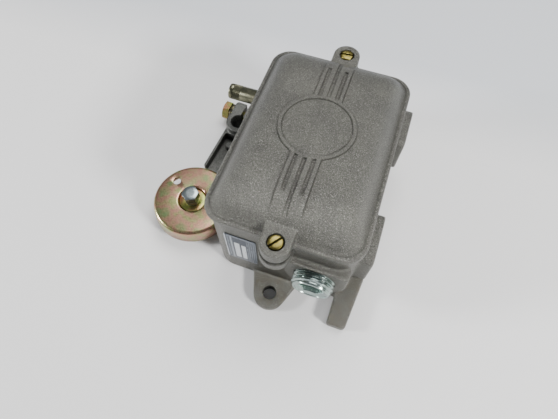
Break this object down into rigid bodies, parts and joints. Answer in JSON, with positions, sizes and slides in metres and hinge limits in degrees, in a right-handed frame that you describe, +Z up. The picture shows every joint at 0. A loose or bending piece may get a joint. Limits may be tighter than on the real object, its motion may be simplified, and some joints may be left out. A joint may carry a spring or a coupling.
{
  "type": "limit switch",
  "caption": "Die-cast heavy-duty limit switch with a domed screwed cover, a serrated side shaft, a plugged cable entry and a loose lever carrying a large flat roller.",
  "frame": {"origin": "centre of the housing base, on the mounting plane, under the centre of the cover", "axes": "+Z up from the base to the cover, -Y towards the cable entry and its nameplate, X along the operating shaft with the serrated end at -X"},
  "size_m": [0.1524, 0.17, 0.0858],
  "materials": {
    "die_casting": "shot-blasted die casting, matte, warm grey",
    "lever_casting": "dark cast lever, satin",
    "rubber": "matte black",
    "nameplate_foil": "printed metal foil, satin",
    "bright_zinc": "bright blue-green zinc plating",
    "bolt_zinc": "bright clear zinc plating",
    "brass": "machined brass",
    "yellow_chromate": "zinc-plated steel with yellow chromate",
    "roller_chromate": "pressed steel with iridescent yellow chromate",
    "bearing_bronze": "sintered bronze",
    "steel": "plain steel",
    "phenolic": "moulded phenolic",
    "white_plastic": "moulded nylon"
  },
  "bodies": {
    "housing_body": {"housing": "die_casting", "gasket": "rubber", "nameplate": "nameplate_foil", "entry_plug": "bright_zinc", "bush_left": "bearing_bronze", "bush_right": "bearing_bronze", "shaft_seal": "rubber", "thrust_washer": "steel", "switch_block": "phenolic", "guide_plate": "white_plastic", "return_spring_front": "steel", "return_spring_rear": "steel", "block_screw_left": "steel", "block_screw_right": "steel", "terminal_block": "phenolic", "terminal_block_screw_front": "steel", "terminal_block_screw_rear": "steel", "earth_washer": "brass", "earth_screw": "brass", "contact_strip_left_inner": "brass", "contact_strip_left_outer": "brass", "contact_strip_right_inner": "brass", "contact_strip_right_outer": "brass", "terminal_clamp_left_inner": "bright_zinc", "terminal_clamp_left_outer": "bright_zinc", "terminal_clamp_right_inner": "bright_zinc", "terminal_clamp_right_outer": "bright_zinc", "terminal_screw_left_inner": "bright_zinc", "terminal_screw_left_outer": "bright_zinc", "terminal_screw_right_inner": "bright_zinc", "terminal_screw_right_outer": "bright_zinc"},
    "cover_body": {"cover": "die_casting", "cover_screw_front": "brass", "cover_screw_rear": "brass"},
    "shaft_body": {"shaft": "yellow_chromate", "rocker": "steel", "rocker_screw": "steel", "retaining_clip": "steel"},
    "plunger_front_body": {"plunger_front": "white_plastic", "contact_bridge_front": "brass"},
    "plunger_rear_body": {"plunger_rear": "white_plastic", "contact_bridge_rear": "brass"},
    "lever_body": {"lever_arm": "lever_casting", "clamp_bolt": "yellow_chromate", "clamp_washer": "steel", "clamp_nut": "yellow_chromate", "roller_bush": "yellow_chromate", "thrust_ring": "steel", "roller_collar": "steel", "roller_bolt": "bolt_zinc", "roller_nut": "steel"},
    "roller_body": {"roller": "roller_chromate"}
  },
  "joints": [
    {"name": "cover_lift", "type": "slide", "parent": "housing_body", "child": "cover_body", "axis": [0, 0, 1], "range_m": [0, 0.05]},
    {"name": "shaft_turn", "type": "hinge", "parent": "housing_body", "child": "shaft_body", "pos_m": [0, 0.0445, 0.0405], "axis": [1, 0, 0], "range_deg": [-30, 30], "stiffness_Nm_per_rad": 0.6},
    {"name": "plunger_front_slide", "type": "slide", "parent": "housing_body", "child": "plunger_front_body", "axis": [0, 0, 1], "range_m": [-0.0056, 0.0056], "deforming": ["return_spring_front"]},
    {"name": "plunger_rear_slide", "type": "slide", "parent": "housing_body", "child": "plunger_rear_body", "axis": [0, 0, 1], "range_m": [-0.0056, 0.0056], "deforming": ["return_spring_rear"]},
    {"name": "lever_slide", "type": "slide", "parent": "housing_body", "child": "lever_body", "axis": [-1, 0, 0], "range_m": [0, 0.06]},
    {"name": "roller_spin", "type": "hinge", "parent": "lever_body", "child": "roller_body", "pos_m": [-0.07201, -0.03424, 0.0096], "axis": [0, 0, 1], "continuous": true}
  ],
  "couplings": [
    {"joint": "plunger_front_slide", "follows": "shaft_turn", "m_per_rad": -0.010504},
    {"joint": "plunger_rear_slide", "follows": "shaft_turn", "m_per_rad": 0.010504}
  ]
}
